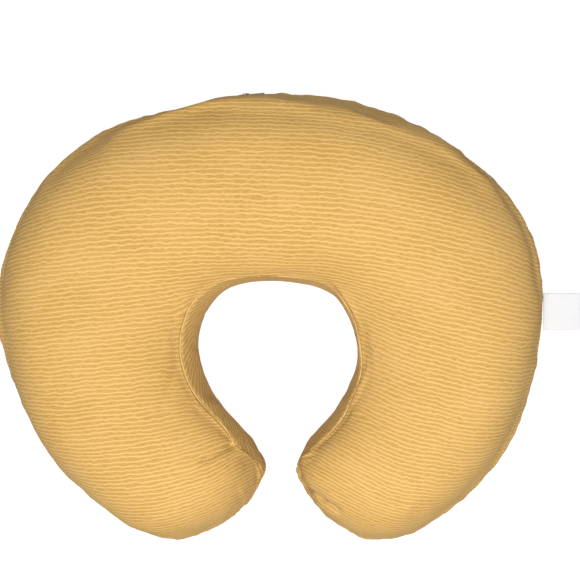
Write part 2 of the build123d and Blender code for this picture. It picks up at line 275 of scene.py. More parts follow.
class Pillow:
    """The closed surface as one mesh: two crown grids and the gusset between them."""

    def __init__(self):
        grids = {side: whole_crown(side) for side in (1, -1)}
        rows, columns = grids[1].shape[:2]
        ring = [(0, j) for j in range(columns)] + [(i, columns - 1) for i in range(1, rows)]
        ring += [(rows - 1, j) for j in range(columns - 2, -1, -1)]
        ring += [(i, 0) for i in range(rows - 2, 0, -1)]
        self.points, self.faces = [], {"top": [], "bottom": [], "gusset": []}
        index = {side: np.full((rows, columns), -1) for side in (1, -1)}
        for cell in np.ndindex(rows, columns):
            index[1][cell] = self.add(grids[1][cell][:3])
        for cell in ring:  # the crowns share the seam where there is no gusset
            if half_gusset(abs(grids[1][cell][3])) == 0:
                index[-1][cell] = index[1][cell]
        for cell in np.ndindex(rows, columns):
            if index[-1][cell] < 0:
                index[-1][cell] = self.add(grids[-1][cell][:3])
        self.attributes = {"top": {}, "bottom": {}, "gusset": {}}
        for side, name in ((1, "top"), (-1, "bottom")):
            for cell in np.ndindex(rows, columns):
                self.attributes[name][index[side][cell]] = grids[side][cell][3:]
            for i, j in np.ndindex(rows - 1, columns - 1):
                quad = [index[side][i + a, j + b] for a, b in ((0, 0), (0, 1), (1, 1), (1, 0))]
                self.faces[name].append(quad[::-side])
        self.add_gusset(grids[1], index, ring)
        self.points = np.array(self.points)
        self.points[:, 2] = np.maximum(self.points[:, 2], 0)

    def add(self, point):
        self.points.append(np.array(point))
        return len(self.points) - 1

    def add_gusset(self, grid, index, ring):
        """Columns of cells between the two crowns, wherever the seam has opened."""
        columns = {}
        outward = ring_normals(grid, ring)
        for at, (i, j) in enumerate(ring):
            top, bottom = index[1][i, j], index[-1][i, j]
            place = grid[i, j, 3]
            half = half_gusset(abs(place))
            if top == bottom:
                columns[(i, j)] = [top] * (GUSSET_CELLS + 1)
                self.attributes["gusset"][top] = np.array([place, 0, place, 0])
                continue
            column = [top]
            for k in range(1, GUSSET_CELLS):
                height = 1 - 2 * k / GUSSET_CELLS
                waist = bell(grid[i, j, 0], 55) * (grid[i, j, 1] > 0)
                bulge = (GUSSET_BULGE - WAIST_FLATTER * waist) * half / GUSSET_HALF
                plan = grid[i, j, :2] + outward[at] * bulge * (1 - height**2)
                column.append(self.add([*plan, SEAM_Z + half * height]))
            column.append(bottom)
            for k, vertex in enumerate(column):
                down = 2 * half * k / GUSSET_CELLS
                self.attributes["gusset"][vertex] = np.array(
                    [place, min(down, 2 * half - down), place, down]
                )
            columns[(i, j)] = column
        for a, b in zip(ring, ring[1:] + ring[:1]):
            for k in range(GUSSET_CELLS):
                quad = [columns[a][k], columns[b][k], columns[b][k + 1], columns[a][k + 1]]
                if len(set(quad)) > 2:  # a cell that shrinks to a line at a tip is left out
                    self.faces["gusset"].append(list(dict.fromkeys(quad)))


def add_mesh(name, points, faces, attributes=None):
    """A new object from points in millimetres, with point attributes."""
    mesh = bpy.data.meshes.new(name)
    mesh.from_pydata((np.asarray(points) * MM).tolist(), [], faces)
    for key, values in (attributes or {}).items():
        values = np.asarray(values, np.float32)
        kind = "FLOAT_VECTOR" if values.ndim == 2 else "FLOAT"
        attribute = mesh.attributes.new(key, kind, "POINT")
        attribute.data.foreach_set("vector" if values.ndim == 2 else "value", values.ravel())
    mesh.validate()
    mesh.polygons.foreach_set("use_smooth", [True] * len(mesh.polygons))
    obj = bpy.data.objects.new(name, mesh)
    bpy.context.scene.collection.objects.link(obj)
    return obj


def read_points(mesh):
    values = np.empty(len(mesh.vertices) * 3, np.float32)
    mesh.vertices.foreach_get("co", values)
    return values.reshape(-1, 3).astype(float) / MM


def read_attribute(mesh, key):
    attribute = mesh.attributes[key]
    wide = attribute.data_type == "FLOAT_VECTOR"
    values = np.empty(len(attribute.data) * (3 if wide else 1), np.float32)
    attribute.data.foreach_get("vector" if wide else "value", values)
    return values.reshape(-1, 3).astype(float) if wide else values.astype(float)


def apply_modifiers(obj):
    mesh = bpy.data.meshes.new_from_object(
        obj.evaluated_get(bpy.context.evaluated_depsgraph_get())
    )
    mesh.name = obj.name
    obj.modifiers.clear()
    obj.data = mesh
    return obj


def plan_centre(points):
    """Near point of the spine, in plan, for each point, smoothly along the spine."""
    spine = lean(np.concatenate([SPINE * [-1, 1], SPINE]))
    reach = np.linalg.norm(points[:, None, :2] - spine[None], axis=2)
    weight = np.exp((reach.min(axis=1, keepdims=True) - reach) / 3)
    centre = weight @ spine / weight.sum(axis=1, keepdims=True)
    return np.column_stack([centre, np.full(len(points), SEAM_Z)])


def outward(points):
    """Directions out of the pillow at each point."""
    away = points - plan_centre(points)
    return away / np.maximum(np.linalg.norm(away, axis=1, keepdims=True), 1e-6)


# Filling: how much smaller the bag starts, how much looser its cloth is than its seams,
# the frames it takes, the most that the cloth moves, and the gusset's share of that
START_IN, CLOTH_EASE, FILL_FRAMES, MOVE_CAP = 3.0, 0.03, 20, 5.0
GUSSET_MOVE = 0.3
SEWN = "sewn"
CLOTH = {
    "quality": 5, "mass": 0.25, "use_pressure": True, "uniform_pressure_force": 4,
    "tension_stiffness": 12, "compression_stiffness": 12, "shear_stiffness": 4,
    "bending_stiffness": 0.3, "vertex_group_mass": SEWN, "shrink_min": -CLOTH_EASE,
}


def inflate(points, faces, seam_distance):
    """Fills the bag of cloth: the seams hold, and the looser cloth swells between them."""
    slack = START_IN * (1 - np.exp(-seam_distance / 15))
    start = points - outward(points) * slack[:, None]
    bag = add_mesh("bag", start, faces)
    group = bag.vertex_groups.new(name=SEWN)
    group.add(np.flatnonzero(seam_distance < 0.01).tolist(), 1.0, "REPLACE")
    cloth = bag.modifiers.new("cloth", "CLOTH")
    for key, value in CLOTH.items():
        setattr(cloth.settings, key, value)
    cloth.settings.effector_weights.gravity = 0
    cloth.collision_settings.use_collision = False
    cloth.collision_settings.use_self_collision = False
    cloth.point_cache.frame_start, cloth.point_cache.frame_end = 1, FILL_FRAMES
    scene = bpy.context.scene
    for step in range(1, FILL_FRAMES + 1):
        scene.frame_set(step)
    made = read_points(bag.evaluated_get(bpy.context.evaluated_depsgraph_get()).to_mesh())
    bpy.data.objects.remove(bag)
    scene.frame_set(1)
    move = made - points
    size = np.linalg.norm(move, axis=1, keepdims=True)
    return points + move * MOVE_CAP * np.tanh(size / MOVE_CAP) / np.maximum(size, 1e-9)


pillow = Pillow()
base = lean(pillow.points)
all_faces = sum(pillow.faces.values(), [])

seam_distance = np.full(len(base), 1e3)
for rows_of in pillow.attributes.values():
    for vertex, row in rows_of.items():
        seam_distance[vertex] = min(seam_distance[vertex], row[1])

filled = inflate(base, all_faces, seam_distance)
on_crowns = np.zeros(len(base), bool)
on_crowns[[*pillow.attributes["top"], *pillow.attributes["bottom"]]] = True
base += (filled - base) * np.where(on_crowns, 1, GUSSET_MOVE)[:, None]
base[:, 2] = np.maximum(base[:, 2], 0)


def zip_place(points):
    """Place along the zipper of each point, from its closed end."""
    angle = np.degrees(np.arctan2(points[:, 1] - ARC_CENTRE[1], points[:, 0] - ARC_CENTRE[0]))
    return BACK_R * np.radians(90 + CLOSED_END_ANGLE - angle)


def rise_over(x, start, end, blend):
    """1 between start and end, 0 outside, with smooth ends."""
    up = np.clip((x - start + blend) / blend, 0, 1)
    down = np.clip((end - x + blend) / blend, 0, 1)
    share = np.minimum(up, down)
    return share * share * (3 - 2 * share)


# Where the gusset begins, as a distance along the seam from the back
GUSSET_FROM = SEAM_AT[OUTER_COUNT - 1] + 8

# Puckers near a seam: (period along it, reach from it, height), and lumps of the filling
PUCKERS = ((7.5, 6, 0.12), (15, 14, 0.22), (37, 32, 0.5))
LUMP_SIZE, LUMP_HEIGHT = 55, 1.4

# Folds seen on the real one: (start, end, half width, depth), in plan
FOLDS = (
    ((-34, -89), (-51, -98), 3.2, 4.2),
    ((-17, -118), (-37, -132), 6.0, 1.2),
    ((30, -115), (38, -129), 2.4, 2.4),
    ((38, -129), (51, -136), 2.4, 3.4),
    ((51, -136), (66, -143), 2.6, 2.8),
    ((50, -144), (64, -149), 4.0, -2.2),
    ((45, -46), (65, -40), 5.0, 1.2),
    ((-87, -21), (-92, -53), 4.0, 1.0),
    ((73, 72), (89, 84), 2.0, 0.9),
    ((-114, 102), (-98, 112), 3.0, 1.0),
    ((-93, 113), (-83, 100), 3.0, 0.8),
)
GUSSET_DENTS = (((-57, -42), 1.8), ((76, -38), 1.4))  # (x, y), depth

# Fullness beside the gusset; the zipper's opening, and how far its lips stand out
PLUMP = 6.0
OPENING, LIP_OUT = 3.6, {"top": 1.6, "bottom": 0.3}


def at_waist(place):
    """1 along the gusset's seams, 0 along the outer seam."""
    return rise_over(np.abs(place), GUSSET_FROM, 2 * SEAM_AT[-1], 30)


def seam_relief(place, distance, panel_seed):
    """How far the cloth stands in or out near a seam: the seam pulls it in between puckers."""
    valley = -1.5 * bell(distance, 1.3) - 0.3 * np.exp(-distance / 5)
    relief = valley * (1 + 0.15 * around(place, 60, 3)) + 0.35 * bell(distance - 3.2, 1.6)
    for period, reach, height in PUCKERS:
        pucker = around(place, period, panel_seed + period) * (1 - 0.6 * at_waist(place))
        relief += height * pucker * np.exp(-distance / reach) * (1 - np.exp(-distance / 1.5))
    return relief


def fold_depth(points, spread=0.0):
    """How deep the folds are at each point. A spread widens them and leaves out the ridges."""
    total = np.zeros(len(points))
    upper = np.clip((points[:, 2] - 60) / 20, 0, 1)
    for start, end, half_width, depth in FOLDS:
        if spread and depth < 0:
            continue
        start, end = np.array(start), np.array(end)
        line = end - start
        share = (points[:, :2] - start) @ line / (line @ line)
        across = np.abs((points[:, :2] - start) @ [-line[1], line[0]]) / np.linalg.norm(line)
        near = bell(across, half_width + spread) * rise_over(share, 0, 1, 0.6)
        total += depth * near * upper
    return total


def picked(faces):
    """The vertices that faces use, and the faces with those vertices renumbered."""
    used = sorted({vertex for face in faces for vertex in face})
    renumber = {vertex: k for k, vertex in enumerate(used)}
    return used, [[renumber[vertex] for vertex in face] for face in faces]


def cloth_panel(name, source, seed):
    """One sewn panel, subdivided, with seam valleys, puckers, folds and a turned-in edge."""
    rows = pillow.attributes[source]
    used, faces = picked(pillow.faces[source])
    table = np.array([rows[v] for v in used])
    pattern = np.column_stack([table[:, 2:], np.zeros(len(used))])
    obj = add_mesh(
        name, base[used], faces,
        {"pattern": pattern, "place": table[:, 0], "distance": table[:, 1]},
    )
    obj.modifiers.new("smooth", "SUBSURF").levels = 1
    apply_modifiers(obj)
    mesh = obj.data
    points = read_points(mesh)
    place, distance = read_attribute(mesh, "place"), read_attribute(mesh, "distance")
    distance = np.maximum(distance, 0)
    # Between the halves, the place at the waist's middle was averaged to about zero
    middle = (np.abs(place) < GUSSET_FROM) & (points[:, 1] < 110) & (np.abs(points[:, 0]) < 25)
    place = np.where(middle, SEAM_AT[-1], place)
    mesh.attributes["place"].data.foreach_set("value", place.astype(np.float32))
    away = outward(points)
    relief = seam_relief(place, distance, seed)
    shift = Vector((seed, 0, 0))
    lumps = np.array([noise.noise(Vector(p) / LUMP_SIZE + shift) for p in points])
    relief += LUMP_HEIGHT * lumps * (1 - np.exp(-distance / 25))
    relief -= fold_depth(points)
    if source != "gusset":  # the filling pushes the cloth up close to the waist's seam
        plump = np.exp(-distance / 20) - np.exp(-distance / 8)
        relief += PLUMP * plump * at_waist(place)
    else:
        for centre, depth in GUSSET_DENTS:
            near = bell(np.linalg.norm(points[:, :2] - centre, axis=1), 6)
            relief -= depth * near * bell(points[:, 2] - 82, 16)
    points += away * relief[:, None]
    if source != "gusset":
        opening = rise_over(zip_place(points), 1, CHAIN_LENGTH - 1, 4)
        opening = opening * (np.abs(place) < GUSSET_FROM) * np.exp(-distance / 6)
        points[:, 2] += OPENING * opening * (1 if source == "top" else -1)
        lip = LIP_OUT[source] * (1 + 0.35 * around(place, 36, 5))
        points += away * (lip * opening)[:, None]
    points[:, 2] = np.maximum(points[:, 2], 0)
    mesh.vertices.foreach_set("co", (points * MM).astype(np.float32).ravel())
    add_pattern(mesh, source, points)
    mesh.update()
    return obj


# How the print is drawn in towards the mouth: how far, where, over what width, up to what y
DRAW_IN, DRAW_X, DRAW_REACH, FADE_Y = 42, 20, 75, 95


def add_pattern(mesh, source, points):
    """The print's own coordinates: u along the lines, v across them, in millimetres."""
    u, v, _ = read_attribute(mesh, "pattern").T
    if source == "gusset":  # cut on the bias
        turned = np.column_stack([(u - v) * 0.7071, (u + v) * 0.7071, 0 * u])
    else:
        x, y, _ = points.T
        v = v + 0.17 * soft_ramp(x - 95, 25) + 0.05 * soft_ramp(x + 20, 25)
        v = v + 0.1 * soft_ramp(-x - 110, 25) - 0.12 * soft_ramp(30 - y, 30)
        fade = np.clip((FADE_Y - y) / FADE_Y, 0, 1)
        v = v - DRAW_IN * bell(x - DRAW_X, DRAW_REACH) * fade * fade * (3 - 2 * fade)
        turned = np.column_stack([u, v, 0 * u])
    mesh.attributes["pattern"].data.foreach_set("vector", turned.astype(np.float32).ravel())


class Graph:
    """A material, with short names for the nodes that the materials use."""

    def __init__(self, name):
        self.material = bpy.data.materials.new(name)
        self.material.use_nodes = True
        self.tree = self.material.node_tree
        self.shader = self.tree.nodes["Principled BSDF"]

    def node(self, kind, **settings):
        made = self.tree.nodes.new(kind)
        for key, value in settings.items():
            setattr(made, key, value)
        return made

    def set(self, socket, value):
        if isinstance(value, bpy.types.NodeSocket):
            self.tree.links.new(value, socket)
        else:
            socket.default_value = value

    def math(self, operation, *values):
        made = self.node("ShaderNodeMath", operation=operation)
        for socket, value in zip(made.inputs, values):
            self.set(socket, value)
        return made.outputs[0]

    def add(self, a, b):
        return self.math("ADD", a, b)

    def minus(self, a, b):
        return self.math("SUBTRACT", a, b)

    def times(self, a, b):
        return self.math("MULTIPLY", a, b)

    def over(self, a, b):
        return self.math("DIVIDE", a, b)

    def vector(self, x, y, z=0.0):
        made = self.node("ShaderNodeCombineXYZ")
        for socket, value in zip(made.inputs, (x, y, z)):
            self.set(socket, value)
        return made.outputs[0]

    def noise(self, vector, scale=1.0, detail=2.0, dimensions="3D"):
        made = self.node("ShaderNodeTexNoise", noise_dimensions=dimensions)
        self.set(made.inputs["Vector"], vector)
        self.set(made.inputs["Scale"], scale)
        self.set(made.inputs["Detail"], detail)
        return made.outputs[0]

    def step(self, value, start, end):
        made = self.node("ShaderNodeMapRange", interpolation_type="SMOOTHSTEP")
        for key, given in (("Value", value), ("From Min", start), ("From Max", end)):
            self.set(made.inputs[key], given)
        return made.outputs[0]

    def mix(self, factor, first, second):
        made = self.node("ShaderNodeMix", data_type="RGBA")
        self.set(made.inputs[0], factor)
        self.set(made.inputs[6], first)
        self.set(made.inputs[7], second)
        return made.outputs[2]

    def split(self, vector):
        made = self.node("ShaderNodeSeparateXYZ")
        self.set(made.inputs[0], vector)
        return made.outputs

    def attribute(self, name):
        return self.node("ShaderNodeAttribute", attribute_name=name).outputs["Vector"]

    def place(self):
        """Object coordinates in millimetres."""
        scaled = self.node("ShaderNodeVectorMath", operation="SCALE")
        self.set(scaled.inputs[0], self.node("ShaderNodeTexCoord").outputs["Object"])
        self.set(scaled.inputs["Scale"], 1000)
        return scaled.outputs[0]

    def bump(self, height, distance, strength=1.0):
        made = self.node("ShaderNodeBump")
        self.set(made.inputs["Height"], height)
        self.set(made.inputs["Distance"], distance)
        self.set(made.inputs["Strength"], strength)
        self.set(self.shader.inputs["Normal"], made.outputs[0])

    def finish(self, color, roughness, **others):
        self.set(self.shader.inputs["Base Color"], color)
        self.set(self.shader.inputs["Roughness"], roughness)
        for key, value in others.items():
            self.set(self.shader.inputs[key.replace("_", " ")], value)
        return self.material


def srgb(red, green, blue, gain=1.0):
    """A linear colour from a display colour of 0 to 255."""
    values = []
    for value in (red, green, blue):
        value = value / 255
        linear = value / 12.92 if value <= 0.04045 else ((value + 0.055) / 1.055) ** 2.4
        values.append(linear * gain)
    return (*values, 1.0)


def darker(color, share):
    return tuple(c * share for c in color[:3]) + (1.0,)


LINE_PITCH = 4.5
GROUND_DARK = (166, 130, 66)
GROUND_LIGHT = (179, 143, 83)
LINE = (202, 165, 103)


def printed_cotton():
    """Honey-coloured cotton with a print of fine pale lines that waver like grain."""
    g = Graph("printed_cotton")
    u, v, _ = g.split(g.attribute("pattern"))

    def grain(along_lines, across_lines, detail):
        """Noise with grains of this size in millimetres."""
        place = g.vector(g.over(u, along_lines), g.over(v, across_lines))
        return g.noise(place, detail=detail)

    drift = grain(34, 15, 1.0)
    lines = g.over(v, LINE_PITCH)
    lines = g.add(lines, g.times(g.minus(drift, 0.5), 0.8))
    row = g.math("FLOOR", lines)
    centre = g.minus(g.minus(lines, row), 0.5)

    def by_line(along_line, jump, detail, z=0.0):
        """Noise along each printed line that has nothing to do with its neighbours'."""
        place = g.vector(g.over(u, along_line), g.times(row, jump), z)
        return g.noise(place, detail=detail)

    waver, shiver = by_line(10, 7.31, 1.5), by_line(3.6, 5.73, 1.0)
    offset = g.times(g.minus(waver, 0.5), 0.7)
    offset = g.math("MULTIPLY_ADD", g.minus(shiver, 0.5), 0.35, offset)
    away = g.math("ABSOLUTE", g.add(centre, offset))
    half = g.add(0.11, g.times(by_line(16, 3.17, 1.0, 9.0), 0.12))
    line = g.step(away, g.add(half, 0.1), g.minus(half, 0.1))
    fleck = g.minus(grain(5, 2.2, 2.0), 0.5)
    tint = g.math("MULTIPLY_ADD", fleck, 1.6, grain(70, 50, 2.0))
    ground = g.mix(g.step(tint, 0.1, 0.9), srgb(*GROUND_DARK), srgb(*GROUND_LIGHT))
    color = g.mix(g.times(line, 0.72), ground, srgb(*LINE))
    warp = g.math("SINE", g.times(u, 2 * pi / 0.7))
    weft = g.math("SINE", g.times(v, 2 * pi / 0.7))
    weave = g.times(g.add(g.times(warp, weft), 1), 0.5)
    crease = g.times(grain(9, 4, 4.0), 0.5)
    height = g.add(g.times(weave, 0.1), crease)
    height = g.add(height, g.times(line, 0.12))
    g.bump(height, 0.0006)
    return g.finish(
        color, 0.9, Sheen_Weight=0.02, Sheen_Roughness=0.6, Specular_IOR_Level=0.1
    )


def plain_weave(name, color, pitch, roughness=0.8, spread=0.12, **others):
    """A plain woven cloth by its place: threads pitch apart, with uneven colour."""
    g = Graph(name)
    place = g.place()
    x, y, z = g.split(place)
    warp = g.math("SINE", g.times(g.add(x, z), 2 * pi / pitch))
    weft = g.math("SINE", g.times(g.minus(y, z), 2 * pi / pitch))
    height = g.times(g.add(g.times(warp, weft), 1), 0.5)
    tint = g.noise(place, 0.06, 3.0)
    dark = darker(color, 1 - spread)
    shade = g.mix(tint, dark, color)
    shade = g.mix(g.times(height, 0.25), shade, dark)
    g.bump(height, 0.0002)
    return g.finish(shade, roughness, **others)


def twisted_thread(name, color):
    """Sewing thread: fine plies that wind round it."""
    g = Graph(name)
    x, y, z = g.split(g.place())
    ply = g.math("SINE", g.times(g.add(g.add(x, y), z), 9.0))
    # The grooves between the plies are painted darker: painted shade, on a thread of one colour
    shade = g.mix(g.math("MULTIPLY_ADD", ply, 0.5, 0.5), darker(color, 0.7), color)
    g.bump(ply, 0.00008)
    return g.finish(shade, 0.55, Sheen_Weight=0.2)


def finish_piece(obj, material, node, body=PILLOW):
    """Gives a piece its material and its body, and hides the CAD node that it stands for."""
    obj.data.materials.clear()
    obj.data.materials.append(material)
    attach(obj, body)
    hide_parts(node)
    return obj


cotton = printed_cotton()
cover = {}
for source, seed in (("top", 1), ("bottom", 2), ("gusset", 3)):
    node = "cover_gusset" if source == "gusset" else f"cover_{source}_panel"
    piece = cloth_panel(f"cotton_{node}", source, seed)
    cover[source] = finish_piece(piece, cotton, node)


def tube_faces(rings, sides, capped=True):
    """Faces of a tube of closed rings of points."""
    faces = []
    for k in range(rings - 1):
        for j in range(sides):
            a, b = k * sides + j, k * sides + (j + 1) % sides
            faces.append((a, b, b + sides, a + sides))
    if capped:
        faces.append(tuple(range(sides))[::-1])
        faces.append(tuple((rings - 1) * sides + j for j in range(sides)))
    return faces


def capsule(sides=6, rings=4):
    """Unit stitch along x from -1 to 1, arched in z so that its ends sink into the cloth."""
    points = []
    for k in range(rings + 1):
        x = -1 + 2 * k / rings
        radius = max(0.35, (1 - x * x) ** 0.35 if abs(x) < 1 else 0)
        lift = 1 - 2.2 * x * x
        for j in range(sides):
            angle = 2 * pi * j / sides
            points.append((x, radius * cos(angle), lift + radius * sin(angle)))
    return np.array(points), tube_faces(rings + 1, sides)


def assembled(name, parts):
    """One mesh of shapes, each given as its place, its axes, and its points and faces."""
    points, faces, offset = [], [], 0
    for place, axes, (shape, shape_faces) in parts:
        points.append(place + shape @ axes)
        faces += [tuple(v + offset for v in face) for face in shape_faces]
        offset += len(shape)
    return add_mesh(name, np.concatenate(points), faces)


def stitches(name, places, tangents, normals, length, radius):
    """One mesh of stitches, each at a place, along a tangent and proud along a normal."""
    parts, shape = [], capsule()
    for place, tangent, normal in zip(places, tangents, normals):
        tangent = tangent / np.linalg.norm(tangent)
        normal = normal - tangent * (normal @ tangent)
        normal /= np.linalg.norm(normal)
        side = np.cross(normal, tangent)
        axes = np.array([tangent * length / 2, side * radius, normal * radius])
        parts.append((place, axes, shape))
    return assembled(name, parts)


def edge_line(panel, keep):
    """The panel's sewn edge as points in order along the seam, where keep(place, points)."""
    mesh = panel.data
    place, distance = read_attribute(mesh, "place"), read_attribute(mesh, "distance")
    points = read_points(mesh)
    chosen = np.flatnonzero((distance < 0.01) & keep(place, points))
    chosen = chosen[np.argsort(place[chosen])]
    return points[chosen]


def even_places(line, pitch):
    """Places a pitch apart along a line of points, with the tangents there."""
    at = along(line)

    def point(wanted):
        return np.column_stack([np.interp(wanted, at, line[:, k]) for k in range(3)])

    wanted = np.arange(pitch / 2, at[-1], pitch)
    return point(wanted), point(wanted + 0.5) - point(wanted - 0.5) + 1e-6


cover_yarn = twisted_thread("cover_yarn", srgb(214, 170, 96))
casing_yarn = twisted_thread("casing_yarn", srgb(222, 220, 212))


def clear_of_zipper(place, points):
    zipped = zip_place(points)
    in_zip = (zipped > -6) & (zipped < CHAIN_LENGTH + 6)
    return (np.abs(place) < GUSSET_FROM) & ~in_zip


def split_line(line, gap):
    """Cuts a line of points wherever the next one is further than a gap."""
    cuts = np.flatnonzero(np.linalg.norm(np.diff(line, axis=0), axis=1) > gap) + 1
    return [part for part in np.split(line, cuts) if len(part) > 3]


def join(name, objs):
    """Joins new objects into the first, under one name."""
    with bpy.context.temp_override(
        active_object=objs[0], selected_editable_objects=objs, object=objs[0]
    ):
        if len(objs) > 1:
            bpy.ops.object.join()
    objs[0].name = name
    return objs[0]


SEAM_YARN_R, COVER_PITCH, COVER_SINK, CASING_PITCH, CASING_SINK = 0.25, 3.0, 0.3, 4.0, -0.2


def seam_row(name, lines, pitch, sink, node, material):
    """A row of stitches along each line, sunk a little into the cloth."""
    parts = []
    for line in lines:
        places, tangents = even_places(line, pitch)
        normals = outward(places)
        spots = places - normals * sink
        parts.append(stitches(name, spots, tangents, normals, pitch * 0.8, SEAM_YARN_R))
    return finish_piece(join(name, parts), material, node)


seam_row(
    "yarn_outer_seam", split_line(edge_line(cover["top"], clear_of_zipper), 12),
    COVER_PITCH, COVER_SINK, "cover_outer_seam_thread", cover_yarn,
)

# Welt: the turned edge of cloth in the gusset's seams
WELT_R, WELT_RISE, WELT_STEP, WELT_SIDES = 0.9, 0.9, 1.5, 8


def welt(name, line, side):
    """The turned seam edge as a thin cord of cloth that stands along the gusset's seam."""
    places, tangents = even_places(line, WELT_STEP)
    normals = outward(places)
    tangents /= np.linalg.norm(tangents, axis=1, keepdims=True)
    across = np.cross(tangents, normals)
    at = np.arange(len(places))
    end = np.minimum(at, at[::-1]) * WELT_STEP
    radius = WELT_R * (1 + 0.2 * wobble(2 * pi * at / 5, side)) * np.minimum(1, 0.2 + end / 12)
    centres = places + normals * WELT_RISE + [0, 0, -0.7 * side]
    turns = 2 * pi * np.arange(WELT_SIDES)[:, None] / WELT_SIDES
    ring = np.cos(turns) * normals[:, None] + np.sin(turns) * across[:, None]
    points = (centres[:, None] + ring * radius[:, None, None]).reshape(-1, 3)
    faces = tube_faces(len(places), WELT_SIDES, capped=False)
    u = np.repeat(at * WELT_STEP, WELT_SIDES)
    pattern = np.column_stack([u, 2.2 + 0 * u, 0 * u])
    return add_mesh(name, points, faces, {"pattern": pattern, "place": u, "distance": 0 * u})


middle_x = lean(np.zeros((1, 3)))[0, 0]
welts = []
for source, node in (("top", "upper"), ("bottom", "lower")):
    line = edge_line(cover[source], lambda place, points: np.abs(place) > GUSSET_FROM)
    # The places grow towards the waist on both halves, so the left half is turned round
    left, right = line[line[:, 0] < middle_x], line[line[:, 0] >= middle_x]
    lines = [*split_line(left, 12), *split_line(right, 12)]
    seam_row(
        f"yarn_gusset_{node}", lines, COVER_PITCH, COVER_SINK,
        f"cover_gusset_{node}_thread", cover_yarn,
    )
    welts += [welt("welt", part, 1 if source == "top" else -1) for part in lines]
for part in welts:
    part.data.materials.append(cotton)
cover["gusset"] = join("cotton_cover_gusset", [cover["gusset"], *welts])


# Inner pillow: casing panels, their seams and the fibre fill, by their depths in the cover
CASING_DEPTH, CASING_LUMP = 4.8, 0.8
FILL_DEPTH, FILL_LUMP = 7.5, 2.5


def inset_points(depth, lump, seed):
    """The pillow's points moved inwards by a depth, with lumps of the filling."""
    lumps = np.array([noise.noise(Vector(p) / 32 + Vector((0, seed, 0))) for p in base])
    inset = depth + lump * (0.5 + 0.5 * lumps) + fold_depth(base, 4)
    points = base - outward(base) * inset[:, None]
    points[:, 2] = np.maximum(points[:, 2], depth * 0.4)
    return points


def inner_piece(name, points, faces, node, material):
    used, faces = picked(faces)
    return finish_piece(add_mesh(name, points[used], faces), material, node)


casing_cotton = plain_weave("casing_cotton", srgb(230, 228, 220), 0.8)
casing_points = inset_points(CASING_DEPTH, CASING_LUMP, 5)
for source, faces in pillow.faces.items():
    node = "casing_gusset" if source == "gusset" else f"casing_{source}_panel"
    inner_piece(f"muslin_{node}", casing_points, faces, node, casing_cotton)


def batting():
    """Loose white polyester: soft lumps with fine crossing fibres."""
    g = Graph("batting")
    place = g.place()
    fibres = g.noise(place, 1.4, 8.0)
    tufts = g.noise(place, 0.12, 3.0)
    shade = g.mix(tufts, srgb(232, 232, 228), srgb(248, 248, 246))
    g.bump(g.add(fibres, tufts), 0.0012)
    return g.finish(shade, 0.95, Sheen_Weight=0.4)


fill_points = inset_points(FILL_DEPTH, FILL_LUMP, 9)
fill = inner_piece("loose_fibre", fill_points, all_faces, "fibre_fill", batting())


for source, seam in (("top", "outer_seam"), ("top", "gusset_upper"), ("bottom", "gusset_lower")):
    rows = pillow.attributes[source].items()
    edge = sorted((row[0], vertex) for vertex, row in rows if row[1] < 0.01)
    at = np.array([place for place, _ in edge])
    line = casing_points[[vertex for _, vertex in edge]]
    if seam == "outer_seam":
        lines = split_line(line[np.abs(at) < GUSSET_FROM], 20)
    else:
        lines = [line[sign * at > GUSSET_FROM] for sign in (1, -1)]
    seam_row(
        f"yarn_casing_{seam.removesuffix('_seam')}", lines, CASING_PITCH, CASING_SINK,
        f"casing_{seam}_thread", casing_yarn,
    )

# Zipper: woven tapes, moulded teeth, stops, and the stitches that hold the tapes


def zip_frame(place, out, z):
    """Point on the zipper, with the directions along it and outwards."""
    angle = radians(90 + CLOSED_END_ANGLE) - place / BACK_R
    away = np.array([cos(angle), sin(angle), 0])
    onward = np.array([sin(angle), -cos(angle), 0])
    return ARC_CENTRE + away * (BACK_R + out) + np.array([0, 0, z]), onward, away


TAPE_EDGE_Z, TAPE_WIDTH, TAPE_TAIL, TAPE_DROP = 2.4, 12.6, 8, 1.0
CORD_R, TAPE_BEHIND = 0.45, 0.8
TAPE_FREE = 5  # height up to which the tape stands free of the cloth
RAY_FROM = 25  # how far outside the zipper a ray starts that looks for the cloth


def surface_tree(obj):
    """The piece's surface, to find points on it in millimetres."""
    mesh = obj.data
    return BVHTree.FromPolygons(
        [Vector(p) for p in read_points(mesh)], [tuple(f.vertices) for f in mesh.polygons]
    )


def tape_section(side):
    """Outline (out, height) of one tape: a round cord at the teeth, then flat woven cloth."""
    cord = [
        (CORD_R * sin(turn), TAPE_EDGE_Z - CORD_R * cos(turn))
        for turn in np.linspace(radians(30), radians(-210), 9)
    ]
    flat = np.linspace(TAPE_EDGE_Z + 0.8, TAPE_EDGE_Z + TAPE_WIDTH, 9)
    drop = (flat - TAPE_EDGE_Z) / TAPE_WIDTH * TAPE_DROP
    outer = list(zip(0.2 - drop, flat))
    inner = list(zip(-0.2 - drop, flat))
    return [(TOOTH_OUT + out, side * height) for out, height in cord + inner + outer[::-1]]


def zipper_tape(name, side, cloth):
    """One woven tape, sewn flat to the inside of the cover's cloth."""
    section, points = tape_section(side), []
    tree = surface_tree(cloth)
    places = np.linspace(-TAPE_TAIL, CHAIN_LENGTH + TAPE_TAIL, 180)
    for place in places:
        for out, height in section:
            if abs(height) > TAPE_FREE:
                spot, _, away = zip_frame(place, RAY_FROM, height)
                hit, _, _, distance = tree.ray_cast(Vector(spot), Vector(-away))
                if hit is not None:
                    out = min(out, RAY_FROM - distance - TAPE_BEHIND + (out - TOOTH_OUT))
            points.append(zip_frame(place, out, height)[0])
    faces = tube_faces(len(places), len(section))
    return add_mesh(name, points, faces if side > 0 else [face[::-1] for face in faces])


